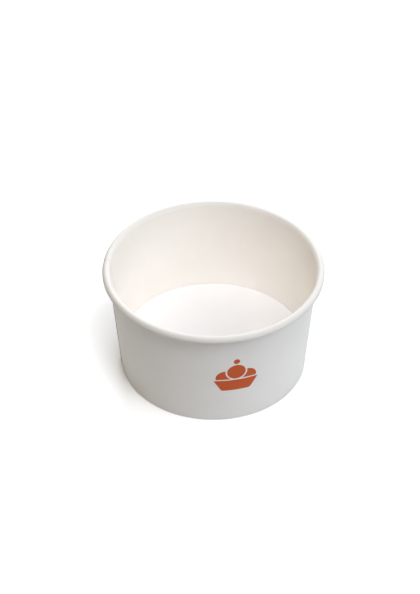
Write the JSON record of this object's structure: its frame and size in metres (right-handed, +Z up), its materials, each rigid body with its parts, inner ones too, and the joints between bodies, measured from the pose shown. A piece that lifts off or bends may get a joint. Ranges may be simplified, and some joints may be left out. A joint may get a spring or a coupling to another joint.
{
  "type": "paper sundae cup",
  "caption": "Squat tapered paperboard tub with a rolled rim and a recessed floor, open at the top, for a portion of ice cream or dessert.",
  "frame": {"origin": "on the table, at the centre of the foot", "axes": "+Z up out of the mouth, -Y towards the front, where the mark is printed. The side seam is close to -X."},
  "size_m": [0.098, 0.098, 0.0535],
  "materials": {
    "sidewall_board": "matte",
    "base_board": "matte",
    "orange_ink": "matte"
  },
  "bodies": {
    "root": {"sidewall": "sidewall_board", "base_disc": "base_board", "printed_mark": "orange_ink"}
  },
  "joints": []
}
